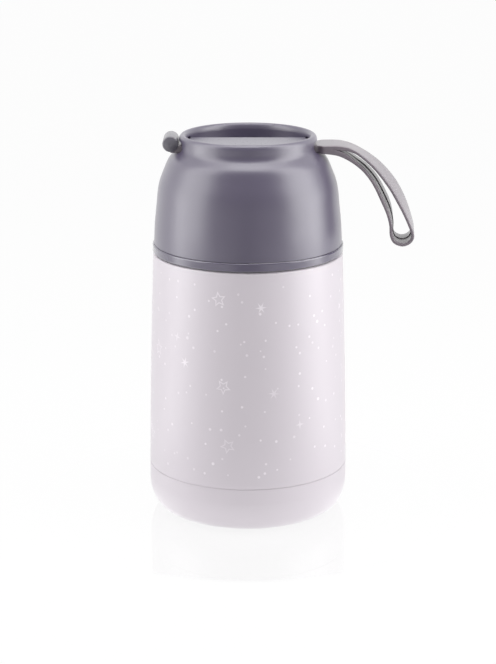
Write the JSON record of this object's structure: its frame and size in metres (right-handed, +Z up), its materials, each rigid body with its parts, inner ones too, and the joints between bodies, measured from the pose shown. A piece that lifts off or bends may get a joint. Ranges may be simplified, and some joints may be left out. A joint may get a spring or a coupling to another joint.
{
  "type": "insulated food jar",
  "caption": "Insulated food jar with a double-walled steel vessel, a vented screw stopper, and a domed screw-on cup lid that has a foot ring and a silicone carrying strap.",
  "frame": {"origin": "centre of the flat underside, on the resting plane and on the jar's axis", "axes": "+Z up along the jar's axis; +X towards the side on which the strap hangs; -Y towards the viewer's front"},
  "size_m": [0.139, 0.1048, 0.1999],
  "materials": {
    "body_paint": "satin pearl",
    "vessel_steel": "satin",
    "pan_steel": "dull",
    "foil": "bright",
    "solder": "dull",
    "getter_pellet": "dull",
    "grey_silicone": "matt",
    "collar_plastic": "satin",
    "lid_plastic": "satin",
    "liner_plastic": "matt",
    "stopper_plastic": "matt",
    "foam": "matt",
    "button_plastic": "satin",
    "clear_silicone": "matt",
    "spring_steel": "polished",
    "strap_silicone": "matt"
  },
  "bodies": {
    "jar": {"base_cup": "body_paint", "outer_shell": "body_paint", "outer_bottom": "pan_steel", "inner_vessel": "vessel_steel", "reflective_foil": "foil", "getter": "getter_pellet", "vacuum_plug": "solder", "collar_seal": "grey_silicone", "shoulder_collar": "collar_plastic"},
    "stopper_lift": {"stopper_insulation": "foam"},
    "stopper_seat": {"stopper_gasket": "clear_silicone"},
    "stopper": {"stopper_body": "stopper_plastic", "stopper_cap": "stopper_plastic", "vent_spring": "spring_steel"},
    "vent": {"vent_button": "button_plastic", "vent_stem": "button_plastic", "vent_seal": "clear_silicone"},
    "lid_lift": {"lid_insulation": "foam"},
    "lid_seat": {"lid_liner": "liner_plastic"},
    "lid": {"lid_shell": "lid_plastic", "strap_bridge": "lid_plastic", "strap_anchor": "strap_silicone"},
    "strap": {"strap_loop": "strap_silicone"}
  },
  "joints": [
    {"name": "stopper_pull", "type": "slide", "parent": "jar", "child": "stopper_lift", "axis": [0, 0, 1], "range_m": [0, 0.108]},
    {"name": "stopper_rise", "type": "slide", "parent": "stopper_lift", "child": "stopper_seat", "axis": [0, 0, 1], "range_m": [0, 0.0061]},
    {"name": "stopper_turn", "type": "hinge", "parent": "stopper_seat", "child": "stopper", "pos_m": [0, 0, 0.145], "axis": [0, 0, 1], "range_deg": [0, 180]},
    {"name": "vent_press", "type": "slide", "parent": "stopper", "child": "vent", "axis": [0, 0, -1], "range_m": [0, 0.0025], "stiffness_N_per_m": 800, "springref_m": -0.002, "deforming": ["vent_spring"]},
    {"name": "lid_pull", "type": "slide", "parent": "stopper_lift", "child": "lid_lift", "axis": [0, 0, 1], "range_m": [0, 0.12]},
    {"name": "lid_rise", "type": "slide", "parent": "lid_lift", "child": "lid_seat", "axis": [0, 0, 1], "range_m": [0, 0.0061]},
    {"name": "lid_turn", "type": "hinge", "parent": "lid_seat", "child": "lid", "pos_m": [0, 0, 0.147], "axis": [0, 0, 1], "range_deg": [0, 180]},
    {"name": "strap_flex", "type": "hinge", "parent": "lid", "child": "strap", "pos_m": [0.038, 0, 0.1932], "axis": [0, 1, 0], "range_deg": [-90, 15], "stiffness_Nm_per_rad": 0.03, "springref_deg": -2.92}
  ],
  "couplings": [
    {"joint": "stopper_rise", "follows": "stopper_turn", "m_per_rad": 0.0019099},
    {"joint": "lid_rise", "follows": "lid_turn", "m_per_rad": 0.0019099}
  ]
}
